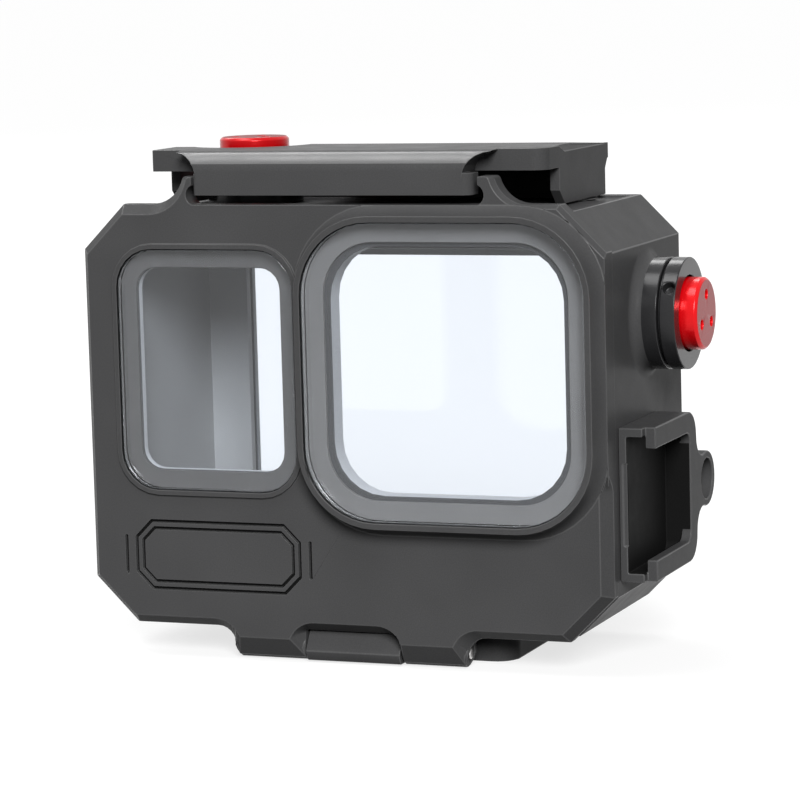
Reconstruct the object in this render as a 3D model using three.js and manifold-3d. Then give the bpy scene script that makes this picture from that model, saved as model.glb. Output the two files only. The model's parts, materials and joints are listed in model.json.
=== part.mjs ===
// Underwater camera housing with a hinged front door, a top latch lever and two push buttons.
// Millimetres, +Z up. X runs across the front and Y from the front to the back.
// While the pieces are made, X = 0 is the door's centre, Y = 0 the door's face and Z = 0 its lower edge.
// The finished group is moved so that the origin is the centre of the mount block's bottom face.

import * as THREE from "three";
import { mergeVertices } from "three/addons/utils/BufferGeometryUtils.js";
import Module from "manifold-3d";

const wasm = await Module();
wasm.setup();

// Clearances
const seatGap = 0.1; // between two pieces that are fastened together
const paneGap = 0.15; // round a window pane in its pocket
const runningGap = 0.3; // between pieces that move past each other
const pinGap = 0.1; // round a pin, stem or screw in its bore
const cutOverrun = 1; // how far a cut runs past the face it opens
const rootOverlap = 0.5; // how deep a boss or wall starts inside what carries it

// Door plate
const doorWidth = 85;
const doorHeight = 65.3;
const doorThickness = 3.8;
const doorCornerCut = 7;
const bevelIn = 1.5; // broad bevel, across the face
const bevelDeep = 2.2; // broad bevel, down the edge
const slimBevelIn = 0.6;
const slimBevelDeep = 1;
const bevelEndHeight = 22.5; // the right edge's broad bevel stops here
const bevelCutterRadius = 4; // its half-moon end is left by this cutter

// Door horns, which the latch lip drops between
const hornTopRise = 4.2; // above the door's upper edge
const hornFilletRadius = 5.3;
const hornSlotRadius = 1.6;
const hornSlotSetback = 0.65; // the slot's centre lies this far outside the horn's side
const hornTipGap = 0.3; // between a horn's tip and the lip's end
const hornTopWidth = 2.3;
const hornTipRounding = 0.6;
const hornRoot = 3; // how far a horn starts below the upper edge

// Lens window
const bezelRightInset = 1.25; // from the door's right edge
const bezelTopInset = 1.4; // from the door's upper edge
const bezelWidth = 46.6;
const bezelHeight = 47;
const bezelCorner = 12.1;
const bezelRise = 3.6; // in front of the door's face
const bezelRimWidth = 0.95;
const bezelFlareWidth = 1.4; // the concave flank spreads this far at the face
const flankRiseShares = [1, 0.61, 0.31, 0.11, 0];
const flankSpreadShares = [0, 0.09, 0.32, 0.64, 1];
const lensPaneInset = 0.4; // behind the rim
const lensPaneThickness = 2.5;
const lensSealThickness = 0.7;
const lensSealBand = 2.9; // the seal's visible width
const lensOpeningWidth = 36.8;
const lensOpeningHeight = 37.6;
const lensOpeningCorner = 7.9;

// Screen window
const screenPaneInsetLeft = 6.6; // from the door's left edge
const screenToBezel = 1.65; // from the pane to the lens bezel
const screenPaneBottom = 21.5;
const screenPaneHeight = 36.9;
const screenPaneCorner = 5.8;
const screenPadBorder = 0.95; // the raised pad's border round the pane
const screenPadRise = 0.5;
const screenPaneInset = 0.2; // behind the pad's face
const screenPaneThickness = 2;
const screenSealThickness = 0.5;
const screenLedgeSide = 2.6; // the ledge that the seal lies on, at the sides
const screenLedgeEnd = 2.85; // and at the top and bottom
const screenOpeningCorner = 3.2;

// Bare label field: two octagonal grooves and two short side grooves
const labelCentreX = -20.65;
const labelCentreHeight = 11.15;
const labelWidth = 27.7;
const labelHeight = 10.9;
const labelCornerCut = 2.7;
const labelRingStep = 1.1; // from the outer groove to the inner one
const grooveWidth = 0.4;
const grooveDepth = 0.5;
const sideGrooveOffset = 1.55; // outside the outer groove
const sideGrooveLength = 5.8;

// Door hinge
const hingeBack = 3.8; // the axis lies in the plane of the door's rear face
const hingeDrop = 2.8; // below the door's lower edge
const hingePinRadius = 0.85;
const doorBarrelRadius = 2.1;
const bodyBarrelRadius = 2.65;
const bodyBarrelFlatFrom = 187; // its front is planed flat between these two angles, in degrees
const bodyBarrelFlatTo = 107;
const bodyBarrelLift = 0.3; // its flat underside lies this far above the block's
const bodyBarrelLeft = -7;
const bodyBarrelLength = 15.4;
const doorBarrelLeftLength = 11.7;
const doorBarrelRightLength = 10.5;
const doorBarrelEndSlant = 0.7; // its outer end slants in by this much at the foot
const doorBarrelSinkRadius = 1.35; // the round sink in its outer end, round the pin's head
const doorBarrelSinkDepth = 0.5;
const tongueFaceDrop = 1.2; // the face of a tongue ends this far below the lower edge
const tongueFaceDeep = 2.2; // its slanted underside ends this far behind the face
const tongueFaceInner = 9.1; // the face's lower corners, from the door's middle
const tongueFaceOuter = 17.45;
const tongueFaceRadius = 4.4; // concave, from a corner up to the bevel line
const tongueEdgeRadius = 2.9; // the same behind the bevel
const tongueArchRadius = 0.4; // beside the middle knuckle
const neckLength = 4.4; // the middle knuckle's neck, behind the hinge axis

// Housing shell
const bodyFrontGap = 0.2;
const bodySideInset = 0.1; // inside the door's edge, at each side
const bodyBottomInset = 0.6;
const bodyTopInset = 1.2;
const bodyDepth = 34.6;
const bodyCornerCut = 6.1;
const sideWall = 6;
const bottomWall = 6.3;
const topWall = 5.6;
const rearWall = 3.2;
const cavityCorner = 4;
const doorSealOffset = 3; // from the cavity's wall to the middle of the seal's groove
const doorSealWidth = 1.8;
const doorSealThickness = 1.5;

// Rear window
const rearOpeningSide = 6.7; // from the cavity's wall to the opening
const rearOpeningBottom = 7.4;
const rearOpeningTop = 3.8;
const rearOpeningCorner = 2.5;
const rearPaneLedge = 2.3; // how far the pane laps over the opening's edge
const rearPocketDepth = 1.7;
const rearSealThickness = 0.6;
const rearSealBand = 1.7;
const rearPaneThickness = 2;
const rearFrameBorder = 5.2; // outside the pane
const rearFrameThickness = 1.3; // of the flange over the pane
const rearFrameLap = 1.7; // the flange covers this much of the pane
const rearFrameCorner = 4;
const rearScrewInset = 2.4; // from the frame's outer edge

// Screws
const screwHeadRadius = 1.6;
const screwHeadHeight = 1;
const screwShankRadius = 0.8;
const rearScrewGrip = 2.4; // depth in the shell
const shoeScrewGrip = 3.4;
const mountScrewGrip = 3.6;

// Latch lever
const latchHalfWidth = 31.9;
const latchFaceBack = 5.4; // the set-back front beside the lip
const latchTop = 73.3;
const latchPlateThickness = 3.3;
const latchRear = 35.9;
const latchCornerRadius = 2.3;
const latchSlopeStart = 20;
const latchSlopeDrop = 1.05;
const lipLeft = 22.8; // the lip's left end, from the door's middle
const lipRight = 22.1;
const lipLeftRounding = 0.5;
const lipRightRounding = 1.5;
const lipFlareRadius = 4; // the lip flares out with this hollow under the lever's top
const lipFlareEdge = 0.25; // thickness left at the flare's end
const lipBottom = 66.7;
const lipThickness = 3.5;
const lipRounding = 3;
const cheekThickness = 1.55;
const cheekFront = 12;
const cheekShoulderHeight = 66.6;
const cheekSlantDepth = 2.4;
const cheekBottom = 64.45;
const cheekRearInset = 1.6; // the cheek ends this far before the plate's rear edge
const cheekStepRise = 1.5; // the slanted step under the plate's rear edge
const latchSideChamfer = 1;
const latchChamferRun = 2.65;
const latchNotchRadius = 10; // round the shutter button
const latchLeftRear = 14; // the plate ends here, left of the button
const latchPivotBack = 32.6;
const latchPivotHeight = 67.4;
const latchPinRadius = 0.8;
const latchPinBlindDepth = 1;
const latchBarrelRadius = 2.4;
const latchPinGrip = 3.5; // how far a pin reaches into the barrel
const reliefWidth = 3.4; // the pocket beside and under each cheek
const reliefLength = 11.7;

// Push buttons
const shutterX = -21.5;
const shutterBack = 21;
const shutterCapRadius = 5.45;
const shutterCapTop = 74.5;
const shutterCapHeight = 4.3;
const shutterTravel = 1.6;
const bushingRadius = 7.5;
const spigotRadius = 5;
const spigotDepth = 3.4;
const modeBack = 21;
const modeHeight = 47.45;
const modeCapRadius = 5.5;
const modeCapTip = 51.7;
const modeCapLength = 3;
const modeTravel = 1.5;
const bossRadius = 8.5;
const bossLength = 3.9;
const bossRootRadius = 1.6; // concave, where the boss runs into the side
const bossRootSteps = 6;
const bossGrooveWidth = 0.4;
const bossGrooveDepth = 0.5;
const collarLength = 2.3;
const collarHoleRadius = 0.95;
const collarHoleDepth = 1.6;
const collarHoleAngle = 32; // the cross hole's turn up from the front, in degrees
const capRounding = 0.4;
const capHoleRadius = 0.8;
const capHoleDepth = 0.9;
const capHolePitchRadius = 2.9;
const capHoles = 3;
const stemRadius = 1.5;
const stemTipInset = 0.2; // the stem ends this far inside the wall's inner face
const stemTail = 1.1; // how far the stem enters its cap
const springRadius = 3.2;
const springWall = 0.8;
const springWellDepth = 1.6;
const sealRadius = 2.5;
const sealLength = 1.6;
const sealInset = 1; // from the well's floor to the seal's groove
const clipRadius = 3;
const clipThickness = 0.6;
const clipWellDepth = 1.5;
const clipOffset = 0.3; // from the stem's tip to the clip's groove
const clipNeck = 0.4; // depth of the clip's groove in the stem

// Side shoe
const shoeFront = 5;
const shoeHeight = 23.1;
const shoeBelowBoss = 6.95; // from the boss down to the shoe
const shoeWidth = 5.4; // out from the shell's side
const shoeWeb = 1.2;
const shoeFlange = 1.35;
const shoeLipThickness = 1.6;
const shoeLipLap = 1.85; // each lip stands this far over the channel
const shoeLength = 22.9;
const shoeStop = 3.4; // the closed rear wall
const shoeCorner = 4;
const shoeInnerCorner = 1.7;
const shoeLipSetback = 1.5;
const shoeLeadIn = 0.6;
const shoeLeadInset = 4; // the lead-in chamfer ends this far inside the channel
const eyeletReach = 5.5; // from the shoe's rear edge to the eyelet's middle
const eyeletDrop = 0.05; // below the shoe's middle
const eyeletRadius = 4.3;
const eyeletHoleRadius = 3.2;
const eyeletThickness = 2.6;
const eyeletRootRadius = 3.4; // concave, where the eyelet runs into the shoe
const shoeScrewSpacing = 12;

// Mount block and camera pads
const blockLeft = -12;
const blockLength = 36;
const blockFront = 8.8;
const blockDepth = 22.4;
const blockDrop = 5; // its bottom lies this far below the door's lower edge
const blockCorner = 3.5;
const blockHoleSpacing = 14;
const blockHoleRadius = 2.55;
const blockHoleDepth = 4.2;
const blockScrewSpacing = 29;
const padThickness = 0.4;
const padWidth = 14;
const padDepth = 18;
const padSpacing = 44;

// Places that follow from the sizes
const doorHalf = doorWidth / 2;
const bodyHalf = doorHalf - bodySideInset;
const bodyFront = doorThickness + bodyFrontGap;
const bodyBack = bodyFront + bodyDepth;
const bodyBottom = bodyBottomInset;
const bodyTop = doorHeight - bodyTopInset;
const cavityHalf = bodyHalf - sideWall;
const cavityBottom = bodyBottom + bottomWall;
const cavityTop = bodyTop - topWall;
const cavityBack = bodyBack - rearWall;
const cavity = [-cavityHalf, cavityHalf, cavityBottom, cavityTop];
const blockMiddleX = blockLeft + blockLength / 2;
const blockMiddleY = blockFront + blockDepth / 2;
const hingeHeight = -hingeDrop;

// Rounded stretches take more steps on larger radii
const smallRadius = 1.8;
const largeRadius = 3.5;
const broadRadius = 8;
const turnSteps = (radius) => (radius < smallRadius ? 12 : radius < largeRadius ? 16 : 36);
const arcStep = (radius) => (radius < largeRadius ? 18 : radius < broadRadius ? 15 : 9);
const hornFilletSteps = 9;
const hornTipSteps = 3;
const tongueSteps = 7;
const lipEndSteps = 5;
const eyeletSteps = 24;

// A closed three.js geometry as a solid
function solid(geometry) {
  const bare = geometry.clone();
  bare.deleteAttribute("normal");
  bare.deleteAttribute("uv");
  const merged = mergeVertices(bare);
  const corners = merged.index.array;
  const kept = [];
  for (let i = 0; i < corners.length; i += 3) {
    const [a, b, c] = [corners[i], corners[i + 1], corners[i + 2]];
    if (a !== b && b !== c && c !== a) kept.push(a, b, c);
  }
  const vertProperties = new Float32Array(merged.attributes.position.array);
  return new wasm.Manifold(new wasm.Mesh({ numProp: 3, vertProperties, triVerts: new Uint32Array(kept) }));
}

const join = (first, ...others) => others.reduce((sum, other) => sum.add(other), first);
const cut = (first, ...others) => others.reduce((rest, other) => rest.subtract(other), first);
const common = (first, ...others) => others.reduce((rest, other) => rest.intersect(other), first);

// Turns a geometry made along Z so that its length runs along the named axis
function along(axis, geometry) {
  const [x, y, z] = [new THREE.Vector3(1, 0, 0), new THREE.Vector3(0, 1, 0), new THREE.Vector3(0, 0, 1)];
  if (axis === "x") geometry.applyMatrix4(new THREE.Matrix4().makeBasis(y, z, x));
  if (axis === "y") geometry.applyMatrix4(new THREE.Matrix4().makeBasis(x, z, y.negate()));
  return geometry;
}

// Points of an arc, with its angles in degrees
function arc(across, up, radius, from, to, wanted) {
  const steps = wanted ?? Math.max(2, Math.round(Math.abs(to - from) / arcStep(radius)));
  return Array.from({ length: steps + 1 }, (_, i) => {
    const angle = THREE.MathUtils.degToRad(from + ((to - from) * i) / steps);
    return [across + radius * Math.cos(angle), up + radius * Math.sin(angle)];
  });
}

// A rectangle with rounded corners, given by its edges
function roundedBox([left, right, low, high], radius) {
  return [
    ...arc(right - radius, high - radius, radius, 0, 90),
    ...arc(left + radius, high - radius, radius, 90, 180),
    ...arc(left + radius, low + radius, radius, 180, 270),
    ...arc(right - radius, low + radius, radius, 270, 360),
  ];
}

// A rectangle with cut corners. Each side can be moved in; the corner cuts move in with the first inset.
function cutBox([left, right, low, high], corner, inset = 0, rightInset = inset) {
  const diagonal = corner + inset * Math.SQRT2;
  return [
    [right - diagonal + inset, high - inset],
    [left + diagonal - inset, high - inset],
    [left + inset, high - diagonal + inset],
    [left + inset, low + diagonal - inset],
    [left + diagonal - inset, low + inset],
    [right - diagonal + inset, low + inset],
    [right - rightInset, low + diagonal - rightInset],
    [right - rightInset, high - diagonal + rightInset],
  ];
}

const grown = ([left, right, low, high], by) => [left - by, right + by, low - by, high + by];
const around = (x, z, width, height) => [x - width / 2, x + width / 2, z - height / 2, z + height / 2];

// An outline pulled along an axis. The outline's plane is XY, XZ for the Y axis and YZ for the X axis.
function prism(axis, outline, from, to) {
  const shape = new THREE.Shape(outline.map(([across, up]) => new THREE.Vector2(across, up)));
  const geometry = new THREE.ExtrudeGeometry(shape, { depth: to - from, bevelEnabled: false });
  geometry.translate(0, 0, axis === "y" ? -to : from);
  return solid(along(axis, geometry));
}

function block([x0, x1], [y0, y1], [z0, z1]) {
  const geometry = new THREE.BoxGeometry(x1 - x0, y1 - y0, z1 - z0);
  geometry.translate((x0 + x1) / 2, (y0 + y1) / 2, (z0 + z1) / 2);
  return solid(geometry);
}

// A round rod along an axis through a point of the plane across it
function rod(axis, [across, up], radius, from, to, endRadius = radius) {
  const geometry = new THREE.CylinderGeometry(endRadius, radius, to - from, turnSteps(radius));
  geometry.rotateX(Math.PI / 2);
  geometry.translate(0, 0, (from + to) / 2);
  if (axis === "y") geometry.rotateX(Math.PI);
  geometry.translate(across, up, 0);
  return solid(along(axis, geometry));
}

const ring = (axis, place, outer, inner, from, to) =>
  cut(rod(axis, place, outer, from, to), rod(axis, place, inner, from - cutOverrun, to + cutOverrun));

// A solid through outlines at rising places along Y, all with the same number of points
function loft(levels) {
  const count = levels[0].outline.length;
  const positions = levels.flatMap(({ at, outline }) => outline.flatMap(([x, z]) => [x, at, z]));
  const index = [];
  for (let level = 1; level < levels.length; level += 1) {
    const [near, far] = [(level - 1) * count, level * count];
    for (let i = 0; i < count; i += 1) {
      const next = (i + 1) % count;
      index.push(near + i, near + next, far + next, near + i, far + next, far + i);
    }
  }
  const cap = (level) =>
    THREE.ShapeUtils.triangulateShape(
      levels[level].outline.map(([x, z]) => new THREE.Vector2(x, z)),
      [],
    );
  const last = (levels.length - 1) * count;
  cap(0).forEach(([a, b, c]) => index.push(a, c, b));
  cap(levels.length - 1).forEach(([a, b, c]) => index.push(last + a, last + b, last + c));
  for (let i = 0; i < index.length; i += 3) [index[i + 1], index[i + 2]] = [index[i + 2], index[i + 1]];
  const geometry = new THREE.BufferGeometry();
  geometry.setAttribute("position", new THREE.Float32BufferAttribute(positions, 3));
  geometry.setIndex(index);
  return solid(geometry);
}

// Finishes
const finish = (color, roughness, metalness) => ({ color, roughness, metalness });
const blackMetal = finish(0x35373a, 0.5, 0.7);
const redMetal = finish(0xe0202c, 0.3, 0.9);
const steel = finish(0xb8bbc0, 0.3, 1);
const rubber = finish(0x1b1b1d, 0.85, 0);
const greyRubber = finish(0x8c8e92, 0.7, 0);
const glass = { color: 0xdfe6ee, roughness: 0.05, metalness: 0, transparent: true, opacity: 0.35 };

const housing = new THREE.Group();
const groups = {};

function piece(group, name, body, look) {
  const data = body.getMesh();
  const geometry = new THREE.BufferGeometry();
  geometry.setAttribute("position", new THREE.BufferAttribute(data.vertProperties, 3));
  geometry.setIndex(new THREE.BufferAttribute(data.triVerts, 1));
  geometry.computeVertexNormals();
  const mesh = new THREE.Mesh(geometry, new THREE.MeshStandardMaterial(look));
  mesh.name = name;
  groups[group] ??= new THREE.Group();
  groups[group].add(mesh);
  housing.add(groups[group]);
}

// A countersunk screw along an axis, with its head's outer face at the first place
function screw(axis, place, headFace, direction, grip, gap = 0) {
  const headEnd = headFace + direction * screwHeadHeight;
  const tip = headEnd + direction * (grip + gap);
  const start = gap > 0 ? headFace - direction * cutOverrun : headFace;
  const low = Math.min(start, headEnd);
  const high = Math.max(start, headEnd);
  const head = rod(axis, place, screwHeadRadius + gap, low, high);
  const shank = rod(axis, place, screwShankRadius + gap, Math.min(headFace, tip), Math.max(headFace, tip));
  return join(head, shank);
}

// Lens window places
const lensCentreX = doorHalf - bezelRightInset - bezelWidth / 2;
const lensCentreHeight = doorHeight - bezelTopInset - bezelHeight / 2;
const lensMiddle = [lensCentreX, lensCentreHeight];
const bezelBox = around(...lensMiddle, bezelWidth, bezelHeight);
const lensPocket = grown(bezelBox, -bezelRimWidth);
const lensPocketCorner = bezelCorner - bezelRimWidth;
const lensPaneFront = lensPaneInset - bezelRise;
const lensPaneBack = lensPaneFront + lensPaneThickness;
const lensLedge = lensPaneBack + lensSealThickness + 2 * seatGap;

// Screen window places
const screenBox = [
  -doorHalf + screenPaneInsetLeft,
  bezelBox[0] - screenToBezel,
  screenPaneBottom,
  screenPaneBottom + screenPaneHeight,
];
const screenOpening = [
  screenBox[0] + screenLedgeSide,
  screenBox[1] - screenLedgeSide,
  screenBox[2] + screenLedgeEnd,
  screenBox[3] - screenLedgeEnd,
];
const screenPaneFront = screenPaneInset - screenPadRise;
const screenPaneBack = screenPaneFront + screenPaneThickness;
const screenLedge = screenPaneBack + screenSealThickness + 2 * seatGap;

// Hinge places
const bodyBarrelRight = bodyBarrelLeft + bodyBarrelLength;
const leftBarrel = [bodyBarrelLeft - runningGap - doorBarrelLeftLength, bodyBarrelLeft - runningGap];
const rightBarrel = [bodyBarrelRight + runningGap, bodyBarrelRight + runningGap + doorBarrelRightLength];
const hingeAxis = [hingeBack, hingeHeight];

// One horn of the door, right of the middle. Its front outline can stand back for a bevel.
const hornSlotX = lipLeft + hornTipGap;
const hornTop = doorHeight + hornTopRise;
const hornFilletHeight = doorHeight + hornFilletRadius;
const hornSpread = Math.sqrt(hornFilletRadius ** 2 - (hornFilletHeight - hornTop) ** 2);
const hornFootX = hornSlotX + hornTopWidth + hornSpread;

function hornOutline(drop) {
  const radius = hornFilletRadius + drop;
  const tipHeight = hornTop - hornTipRounding;
  const reach = radius + hornTipRounding;
  const tipTurn = Math.asin((hornFilletHeight - tipHeight) / reach);
  const tipX = hornFootX - reach * Math.cos(tipTurn);
  const turn = THREE.MathUtils.radToDeg(tipTurn);
  const slotRise = Math.sqrt(hornSlotRadius ** 2 - hornSlotSetback ** 2);
  const slotTurn = THREE.MathUtils.radToDeg(Math.acos(hornSlotSetback / hornSlotRadius));
  return [
    [hornFootX, doorHeight - hornRoot],
    ...arc(hornFootX, hornFilletHeight, radius, -90, turn - 180, hornFilletSteps),
    ...arc(tipX, tipHeight, hornTipRounding, turn, 90, hornTipSteps).slice(1),
    [hornSlotX, hornTop],
    ...arc(hornSlotX - hornSlotSetback, doorHeight + slotRise, hornSlotRadius, slotTurn, -slotTurn),
    [hornSlotX, doorHeight - hornRoot],
  ];
}

const mirrored = (outline) => outline.map(([x, z]) => [-x, z]).reverse();

function horns() {
  const full = hornOutline(0);
  const right = loft([
    { at: 0, outline: hornOutline(slimBevelIn) },
    { at: slimBevelDeep, outline: full },
    { at: doorThickness, outline: full },
  ]);
  const left = loft([
    { at: 0, outline: mirrored(hornOutline(bevelIn)) },
    { at: bevelDeep, outline: mirrored(full) },
    { at: doorThickness, outline: mirrored(full) },
  ]);
  return join(right, left);
}

const doorBox = [-doorHalf, doorHalf, 0, doorHeight];

// The plate has a broad bevel, which is slim or missing beside the bezel and between the horns
function doorPlate() {
  const edge = cutBox(doorBox, doorCornerCut);
  const broad = loft([
    { at: 0, outline: cutBox(doorBox, doorCornerCut, bevelIn) },
    { at: bevelDeep, outline: edge },
    { at: doorThickness, outline: edge },
  ]);
  const slim = loft([
    { at: 0, outline: cutBox(doorBox, doorCornerCut, slimBevelIn, 0) },
    { at: slimBevelDeep, outline: edge },
    { at: doorThickness, outline: edge },
  ]);
  const betweenHalf = hornSlotX + rootOverlap;
  const depth = [0, doorThickness];
  const between = block([-betweenHalf, betweenHalf], depth, [doorHeight - hornRoot, doorHeight]);
  const corner = block([hornFootX, doorHalf], depth, [bevelEndHeight, doorHeight]);
  const cutterX = doorHalf - bevelIn + bevelCutterRadius;
  const cutterSlope = bevelIn / bevelDeep;
  const cutter = rod(
    "y",
    [cutterX, bevelEndHeight],
    bevelCutterRadius + cutOverrun * cutterSlope,
    -cutOverrun,
    bevelDeep,
    bevelCutterRadius - bevelIn,
  );
  return join(broad, between, common(slim, cut(corner, cutter)));
}

function bezel() {
  const outline = (spread) => roundedBox(grown(bezelBox, spread), bezelCorner + spread);
  const flank = flankRiseShares.map((share, i) => ({
    at: -share * bezelRise,
    outline: outline(flankSpreadShares[i] * bezelFlareWidth),
  }));
  flank.push({ at: rootOverlap, outline: outline(bezelFlareWidth) });
  const within = prism("y", cutBox(doorBox, doorCornerCut), -bezelRise - cutOverrun, doorThickness);
  return common(loft(flank), within);
}

const screenPad = () => {
  const outline = roundedBox(grown(screenBox, screenPadBorder), screenPaneCorner + screenPadBorder);
  return prism("y", outline, -screenPadRise, rootOverlap);
};

// A tongue runs from the door's lower edge down to a barrel, between the barrel's inner and outer end
function tongue(side, inner, outer) {
  const low = -tongueFaceDrop;
  const foot = hingeHeight - doorBarrelRadius;
  const underside = hingeHeight - doorBarrelRadius * Math.sin(Math.PI / 4);
  const top = bevelIn + bevelDeep;
  const archHeight = bevelIn - tongueFaceRadius;
  const run = Math.sqrt(tongueFaceRadius ** 2 - (low - archHeight) ** 2);
  const turn = THREE.MathUtils.radToDeg(Math.asin((low - archHeight) / tongueFaceRadius));
  const face = [
    [tongueFaceInner - run, top],
    ...arc(tongueFaceInner - run, archHeight, tongueFaceRadius, 90, turn, tongueSteps),
    ...arc(tongueFaceOuter + run, archHeight, tongueFaceRadius, 180 - turn, 90, tongueSteps),
    [tongueFaceOuter + run, top],
  ];
  const slantHeight = -tongueEdgeRadius - foot;
  const slant = (height) => (doorBarrelEndSlant * (-tongueEdgeRadius - height)) / slantHeight;
  const behind = (bottom) => [
    [inner - tongueArchRadius, top],
    ...arc(inner - tongueArchRadius, -tongueArchRadius, tongueArchRadius, 90, 0, tongueSteps - 1),
    [inner, bottom],
    [outer - slant(bottom), bottom],
    ...arc(outer + tongueEdgeRadius, -tongueEdgeRadius, tongueEdgeRadius, 180, 90, tongueSteps - 1),
    [outer + tongueEdgeRadius, top],
  ];
  const turned = (outline) => (side > 0 ? outline : mirrored(outline));
  const body = loft([
    { at: 0, outline: turned(face) },
    { at: tongueFaceDeep, outline: turned(behind(underside)) },
    { at: doorThickness, outline: turned(behind(foot)) },
  ]);
  const ends = side > 0 ? [inner, outer] : [-outer, -inner];
  const pastFoot = foot - cutOverrun;
  const beyond = [
    [outer - slant(pastFoot), pastFoot],
    [outer + cutOverrun, pastFoot],
    [outer + cutOverrun, -tongueEdgeRadius],
    [outer, -tongueEdgeRadius],
  ];
  const barrelBack = hingeBack + doorBarrelRadius + cutOverrun;
  const end = prism("y", turned(beyond), hingeBack - doorBarrelRadius, barrelBack);
  return join(body, cut(rod("x", hingeAxis, doorBarrelRadius, ...ends), end));
}

const grooveRing = (box, corner) =>
  cut(
    prism("y", cutBox(box, corner), -cutOverrun, grooveDepth),
    prism("y", cutBox(box, corner, grooveWidth), -cutOverrun, grooveDepth),
  );

// A cut corner shrinks by this share of the step when its outline moves in
const cornerShare = 2 - Math.SQRT2;

function labelGrooves() {
  const outer = around(labelCentreX, labelCentreHeight, labelWidth, labelHeight);
  const inner = grown(outer, -labelRingStep);
  const innerCorner = labelCornerCut - labelRingStep * cornerShare;
  const side = (x) =>
    block(
      [x - grooveWidth / 2, x + grooveWidth / 2],
      [-cutOverrun, grooveDepth],
      [labelCentreHeight - sideGrooveLength / 2, labelCentreHeight + sideGrooveLength / 2],
    );
  return join(
    grooveRing(outer, labelCornerCut),
    grooveRing(inner, innerCorner),
    side(outer[0] - sideGrooveOffset),
    side(outer[1] + sideGrooveOffset),
  );
}

function frontDoor() {
  const lensOpening = around(...lensMiddle, lensOpeningWidth, lensOpeningHeight);
  const back = doorThickness + cutOverrun;
  const front = -bezelRise - cutOverrun;
  const leftTongue = tongue(-1, -leftBarrel[1], -leftBarrel[0]);
  const rightTongue = tongue(1, ...rightBarrel);
  const [leftEnd, rightEnd] = [leftBarrel[0], rightBarrel[1]];
  return cut(
    join(doorPlate(), horns(), bezel(), screenPad(), leftTongue, rightTongue),
    prism("y", roundedBox(lensPocket, lensPocketCorner), front, lensLedge),
    prism("y", roundedBox(lensOpening, lensOpeningCorner), front, back),
    prism("y", roundedBox(grown(screenBox, paneGap), screenPaneCorner + paneGap), front, screenLedge),
    prism("y", roundedBox(screenOpening, screenOpeningCorner), front, back),
    labelGrooves(),
    rod("x", hingeAxis, hingePinRadius + pinGap, leftEnd - cutOverrun, rightEnd + cutOverrun),
    rod("x", hingeAxis, doorBarrelSinkRadius, leftEnd - cutOverrun, leftEnd + doorBarrelSinkDepth),
    rod("x", hingeAxis, doorBarrelSinkRadius, rightEnd - doorBarrelSinkDepth, rightEnd + cutOverrun),
  );
}

const flatRing = (outer, outerCorner, inner, innerCorner, from, to) =>
  cut(
    prism("y", roundedBox(outer, outerCorner), from, to),
    prism("y", roundedBox(inner, innerCorner), from - cutOverrun, to + cutOverrun),
  );

function doorWindows() {
  const lensPane = grown(lensPocket, -paneGap);
  const lensPaneCorner = lensPocketCorner - paneGap;
  piece(
    "door",
    "lens_window",
    prism("y", roundedBox(lensPane, lensPaneCorner), lensPaneFront, lensPaneBack),
    glass,
  );
  const lensSealFront = lensPaneBack + seatGap;
  piece(
    "door",
    "lens_window_seal",
    flatRing(
      lensPane,
      lensPaneCorner,
      grown(lensPane, -lensSealBand),
      lensPaneCorner - lensSealBand,
      lensSealFront,
      lensSealFront + lensSealThickness,
    ),
    greyRubber,
  );
  piece(
    "door",
    "screen_window",
    prism("y", roundedBox(screenBox, screenPaneCorner), screenPaneFront, screenPaneBack),
    glass,
  );
  const screenSealFront = screenPaneBack + seatGap;
  piece(
    "door",
    "screen_window_seal",
    flatRing(
      screenBox,
      screenPaneCorner,
      grown(screenOpening, seatGap),
      screenOpeningCorner + seatGap,
      screenSealFront,
      screenSealFront + screenSealThickness,
    ),
    rubber,
  );
}

// Rear window places
const rearOpening = [
  -cavityHalf + rearOpeningSide,
  cavityHalf - rearOpeningSide,
  cavityBottom + rearOpeningBottom,
  cavityTop - rearOpeningTop,
];
const rearPane = grown(rearOpening, rearPaneLedge);
const rearPaneCorner = rearOpeningCorner + rearPaneLedge;
const rearLedge = bodyBack - rearPocketDepth;
const rearSealBack = rearLedge + seatGap + rearSealThickness;
const rearPaneFront = rearSealBack + seatGap;
const rearPaneBack = rearPaneFront + rearPaneThickness;
const rearFrameFront = bodyBack + seatGap;
const rearFrameBack = rearPaneBack + seatGap + rearFrameThickness;
const rearFrameBox = grown(rearPane, rearFrameBorder);
const rearScrewReach = rearFrameBack - bodyBack + rearScrewGrip - screwHeadHeight;
const rearScrewPlaces = [
  [rearFrameBox[0] + rearScrewInset, rearFrameBox[2] + rearScrewInset],
  [rearFrameBox[1] - rearScrewInset, rearFrameBox[2] + rearScrewInset],
  [rearFrameBox[0] + rearScrewInset, rearFrameBox[3] - rearScrewInset],
  [rearFrameBox[1] - rearScrewInset, rearFrameBox[3] - rearScrewInset],
];

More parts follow.
